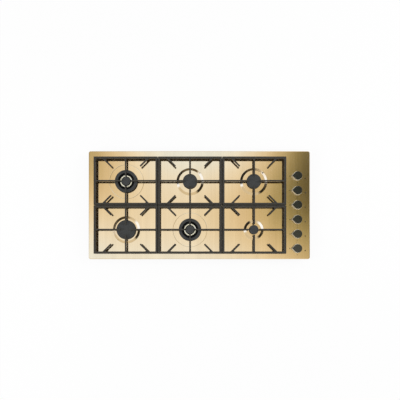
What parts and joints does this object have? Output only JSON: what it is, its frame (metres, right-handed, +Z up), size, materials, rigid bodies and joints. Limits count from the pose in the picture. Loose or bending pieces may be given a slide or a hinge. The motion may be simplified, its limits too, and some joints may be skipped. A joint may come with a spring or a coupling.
{
  "type": "gas cooktop",
  "caption": "Built-in gas cooktop: a wide brushed gold-toned steel plate with lift-off cast-iron grates, burners with black caps, and a column of push-and-turn knobs.",
  "frame": {"origin": "under the middle of the top plate, on the surface that the casing stands on", "axes": "+X to the right, towards the knobs; +Y to the back; +Z up"},
  "size_m": [1.08, 0.527, 0.098],
  "materials": {
    "plate_gold": "brushed gold-toned coating",
    "seal_foam": "closed-cell foam",
    "galvanised": "galvanised sheet",
    "zinc_steel": "zinc plated",
    "cast_aluminium": "die cast",
    "spreader_alloy": "machined casting",
    "crown_dark": "dark heat-resistant coating",
    "brass": "machined",
    "pipe_aluminium": "drawn tube",
    "ceramic_white": "glazed",
    "module_plastic": "moulded",
    "lead_silicone": "silicone",
    "lead_copper": "drawn copper tube",
    "stem_steel": "turned",
    "knob_black": "satin black",
    "cap_enamel": "matte black enamel",
    "cast_iron": "matte black enamel on cast iron"
  },
  "bodies": {
    "casing": {"top_plate": "plate_gold", "worktop_seal": "seal_foam", "bottom_tray": "galvanised", "fixing_nuts": "zinc_steel", "mounting_clamps": "galvanised", "clamp_screws": "zinc_steel", "auxiliary_burner_body": "cast_aluminium", "semi_rapid_burner_body": "cast_aluminium", "rapid_burner_body": "cast_aluminium", "wok_burner_body": "cast_aluminium", "auxiliary_spreader": "spreader_alloy", "semi_rapid_spreader": "spreader_alloy", "rapid_spreader": "spreader_alloy", "wok_spreader": "crown_dark", "wok_inner_crown": "brass", "gas_injectors": "brass", "feed_pipes": "pipe_aluminium", "pipe_nuts": "brass", "gas_manifold": "zinc_steel", "gas_inlet_elbow": "brass", "tap_bodies": "brass", "tap_bonnets": "zinc_steel", "spark_plugs": "ceramic_white", "flame_sensors": "zinc_steel", "ignition_module": "module_plastic", "ignition_leads": "lead_silicone", "sensor_leads": "lead_copper", "cable_gland": "module_plastic"},
    "tap_rotor_1": {"tap_plug_1": "brass"},
    "knob_and_stem_1": {"tap_stem_1": "stem_steel", "knob_1": "knob_black"},
    "tap_rotor_2": {"tap_plug_2": "brass"},
    "knob_and_stem_2": {"tap_stem_2": "stem_steel", "knob_2": "knob_black"},
    "tap_rotor_3": {"tap_plug_3": "brass"},
    "knob_and_stem_3": {"tap_stem_3": "stem_steel", "knob_3": "knob_black"},
    "tap_rotor_4": {"tap_plug_4": "brass"},
    "knob_and_stem_4": {"tap_stem_4": "stem_steel", "knob_4": "knob_black"},
    "tap_rotor_5": {"tap_plug_5": "brass"},
    "knob_and_stem_5": {"tap_stem_5": "stem_steel", "knob_5": "knob_black"},
    "tap_rotor_6": {"tap_plug_6": "brass"},
    "knob_and_stem_6": {"tap_stem_6": "stem_steel", "knob_6": "knob_black"},
    "outer_cap_back_left": {"outer_cap_back_left": "cap_enamel"},
    "inner_cap_back_left": {"inner_cap_back_left": "cap_enamel"},
    "cap_back_middle": {"cap_back_middle": "cap_enamel"},
    "cap_back_right": {"cap_back_right": "cap_enamel"},
    "cap_front_left": {"cap_front_left": "cap_enamel"},
    "outer_cap_front_middle": {"outer_cap_front_middle": "cap_enamel"},
    "inner_cap_front_middle": {"inner_cap_front_middle": "cap_enamel"},
    "cap_front_right": {"cap_front_right": "cap_enamel"},
    "grate_back_left": {"grate_back_left": "cast_iron"},
    "grate_back_middle": {"grate_back_middle": "cast_iron"},
    "grate_back_right": {"grate_back_right": "cast_iron"},
    "grate_front_left": {"grate_front_left": "cast_iron"},
    "grate_front_middle": {"grate_front_middle": "cast_iron"},
    "grate_front_right": {"grate_front_right": "cast_iron"}
  },
  "joints": [
    {"name": "knob_turn_1", "type": "hinge", "parent": "casing", "child": "tap_rotor_1", "pos_m": [0.478, 0.1415, 0.03], "axis": [0, 0, 1], "range_deg": [0, 162]},
    {"name": "knob_push_1", "type": "slide", "parent": "tap_rotor_1", "child": "knob_and_stem_1", "axis": [0, 0, -1], "range_m": [0, 0.0035], "stiffness_N_per_m": 800, "springref_m": -0.002},
    {"name": "knob_turn_2", "type": "hinge", "parent": "casing", "child": "tap_rotor_2", "pos_m": [0.478, 0.0709, 0.03], "axis": [0, 0, 1], "range_deg": [0, 162]},
    {"name": "knob_push_2", "type": "slide", "parent": "tap_rotor_2", "child": "knob_and_stem_2", "axis": [0, 0, -1], "range_m": [0, 0.0035], "stiffness_N_per_m": 800, "springref_m": -0.002},
    {"name": "knob_turn_3", "type": "hinge", "parent": "casing", "child": "tap_rotor_3", "pos_m": [0.478, 0.0003, 0.03], "axis": [0, 0, 1], "range_deg": [0, 162]},
    {"name": "knob_push_3", "type": "slide", "parent": "tap_rotor_3", "child": "knob_and_stem_3", "axis": [0, 0, -1], "range_m": [0, 0.0035], "stiffness_N_per_m": 800, "springref_m": -0.002},
    {"name": "knob_turn_4", "type": "hinge", "parent": "casing", "child": "tap_rotor_4", "pos_m": [0.478, -0.0703, 0.03], "axis": [0, 0, 1], "range_deg": [0, 162]},
    {"name": "knob_push_4", "type": "slide", "parent": "tap_rotor_4", "child": "knob_and_stem_4", "axis": [0, 0, -1], "range_m": [0, 0.0035], "stiffness_N_per_m": 800, "springref_m": -0.002},
    {"name": "knob_turn_5", "type": "hinge", "parent": "casing", "child": "tap_rotor_5", "pos_m": [0.478, -0.1409, 0.03], "axis": [0, 0, 1], "range_deg": [0, 162]},
    {"name": "knob_push_5", "type": "slide", "parent": "tap_rotor_5", "child": "knob_and_stem_5", "axis": [0, 0, -1], "range_m": [0, 0.0035], "stiffness_N_per_m": 800, "springref_m": -0.002},
    {"name": "knob_turn_6", "type": "hinge", "parent": "casing", "child": "tap_rotor_6", "pos_m": [0.478, -0.2115, 0.03], "axis": [0, 0, 1], "range_deg": [0, 162]},
    {"name": "knob_push_6", "type": "slide", "parent": "tap_rotor_6", "child": "knob_and_stem_6", "axis": [0, 0, -1], "range_m": [0, 0.0035], "stiffness_N_per_m": 800, "springref_m": -0.002},
    {"name": "lift_outer_cap_back_left", "type": "slide", "parent": "casing", "child": "outer_cap_back_left", "axis": [0, 0, 1], "range_m": [0, 0.008]},
    {"name": "lift_inner_cap_back_left", "type": "slide", "parent": "casing", "child": "inner_cap_back_left", "axis": [0, 0, 1], "range_m": [0, 0.008]},
    {"name": "lift_cap_back_middle", "type": "slide", "parent": "casing", "child": "cap_back_middle", "axis": [0, 0, 1], "range_m": [0, 0.008]},
    {"name": "lift_cap_back_right", "type": "slide", "parent": "casing", "child": "cap_back_right", "axis": [0, 0, 1], "range_m": [0, 0.008]},
    {"name": "lift_cap_front_left", "type": "slide", "parent": "casing", "child": "cap_front_left", "axis": [0, 0, 1], "range_m": [0, 0.008]},
    {"name": "lift_outer_cap_front_middle", "type": "slide", "parent": "casing", "child": "outer_cap_front_middle", "axis": [0, 0, 1], "range_m": [0, 0.008]},
    {"name": "lift_inner_cap_front_middle", "type": "slide", "parent": "casing", "child": "inner_cap_front_middle", "axis": [0, 0, 1], "range_m": [0, 0.008]},
    {"name": "lift_cap_front_right", "type": "slide", "parent": "casing", "child": "cap_front_right", "axis": [0, 0, 1], "range_m": [0, 0.008]},
    {"name": "lift_grate_back_left", "type": "slide", "parent": "casing", "child": "grate_back_left", "axis": [0, 0, 1], "range_m": [0, 0.12]},
    {"name": "lift_grate_back_middle", "type": "slide", "parent": "casing", "child": "grate_back_middle", "axis": [0, 0, 1], "range_m": [0, 0.12]},
    {"name": "lift_grate_back_right", "type": "slide", "parent": "casing", "child": "grate_back_right", "axis": [0, 0, 1], "range_m": [0, 0.12]},
    {"name": "lift_grate_front_left", "type": "slide", "parent": "casing", "child": "grate_front_left", "axis": [0, 0, 1], "range_m": [0, 0.12]},
    {"name": "lift_grate_front_middle", "type": "slide", "parent": "casing", "child": "grate_front_middle", "axis": [0, 0, 1], "range_m": [0, 0.12]},
    {"name": "lift_grate_front_right", "type": "slide", "parent": "casing", "child": "grate_front_right", "axis": [0, 0, 1], "range_m": [0, 0.12]}
  ]
}
